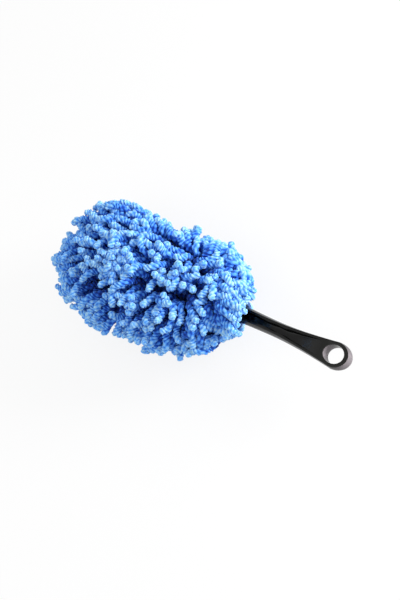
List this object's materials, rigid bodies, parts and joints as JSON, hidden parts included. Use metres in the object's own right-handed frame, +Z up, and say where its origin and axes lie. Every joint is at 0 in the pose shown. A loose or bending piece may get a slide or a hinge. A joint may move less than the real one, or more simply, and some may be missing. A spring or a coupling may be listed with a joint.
{
  "type": "car duster",
  "caption": "Hand duster: a slim channelled handle with a hanging ring, moulded in one with a flat paddle that carries a pull-off sleeve of soft cord-like noodles.",
  "frame": {"origin": "bottom centre of the whole duster's box, as it lies on its lower noodles", "axes": "+X from the hanging ring along the handle to the tip of the head, +Z up out of the handle's open channel, +Y to the left of someone looking along +X"},
  "size_m": [0.3274, 0.122, 0.0802],
  "materials": {
    "moulded_black": "glossy black injection moulding",
    "microfibre_blue": "soft looped microfibre noodles on a cloth backing",
    "seam_cloth": "folded woven cloth",
    "mouth_cloth": "gathered woven cloth",
    "hem_cloth": "stitched woven cloth",
    "elastic_white": "ribbed elastic band"
  },
  "bodies": {
    "moulding": {"handle_and_paddle": "moulded_black"},
    "sleeve": {"top_noodles_neck": "microfibre_blue", "top_noodles_rear": "microfibre_blue", "top_noodles_middle": "microfibre_blue", "top_noodles_front": "microfibre_blue", "top_noodles_tip": "microfibre_blue", "bottom_noodles_neck": "microfibre_blue", "bottom_noodles_rear": "microfibre_blue", "bottom_noodles_middle": "microfibre_blue", "bottom_noodles_front": "microfibre_blue", "bottom_noodles_tip": "microfibre_blue", "side_seam": "seam_cloth", "gathered_mouth": "mouth_cloth", "neck_hem": "hem_cloth", "neck_elastic": "elastic_white"}
  },
  "joints": [
    {"name": "sleeve_pull_off", "type": "slide", "parent": "moulding", "child": "sleeve", "axis": [1, 0, 0], "range_m": [0, 0.2], "deforming": ["gathered_mouth", "neck_hem", "neck_elastic"]}
  ]
}
